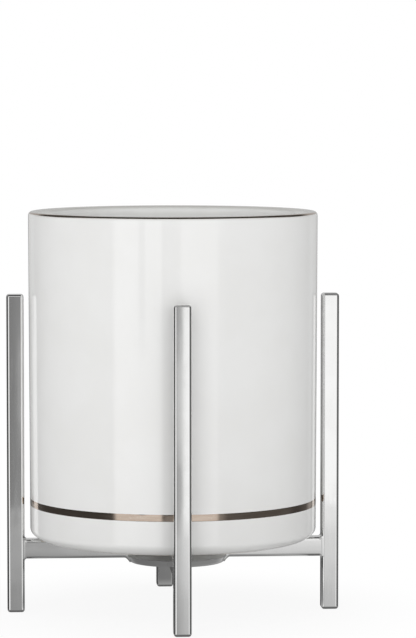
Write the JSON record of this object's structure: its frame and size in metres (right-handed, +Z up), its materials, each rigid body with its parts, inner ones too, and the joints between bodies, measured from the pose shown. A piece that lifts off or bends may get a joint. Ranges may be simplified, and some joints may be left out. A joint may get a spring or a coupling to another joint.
{
  "type": "pen holder cup",
  "caption": "Round glazed ceramic pen cup with metal lustre lines, standing loose in an open stand of polished square bar with upright legs and crossed arms.",
  "frame": {"origin": "on the floor under the cup's axis, midway between the legs' feet", "axes": "+Z up along the cup's axis, legs on the X and Y axes, the front leg on -Y, +X to the right seen from the front"},
  "size_m": [0.106, 0.106, 0.1279],
  "materials": {
    "white_glaze": "gloss white glaze",
    "dark_lustre": "fired-on dark platinum lustre, mirror-like",
    "polished_bar": "polished bright plating on square bar"
  },
  "bodies": {
    "stand": {"hub_disc": "polished_bar", "leg_front": "polished_bar", "arm_front": "polished_bar", "leg_right": "polished_bar", "arm_right": "polished_bar", "leg_back": "polished_bar", "arm_back": "polished_bar", "leg_left": "polished_bar", "arm_left": "polished_bar"},
    "cup": {"cup_body": "white_glaze", "lustre_band": "dark_lustre", "lustre_lip_line": "dark_lustre"}
  },
  "joints": [
    {"name": "cup_lift", "type": "slide", "parent": "stand", "child": "cup", "axis": [0, 0, 1], "range_m": [0, 0.085]}
  ]
}
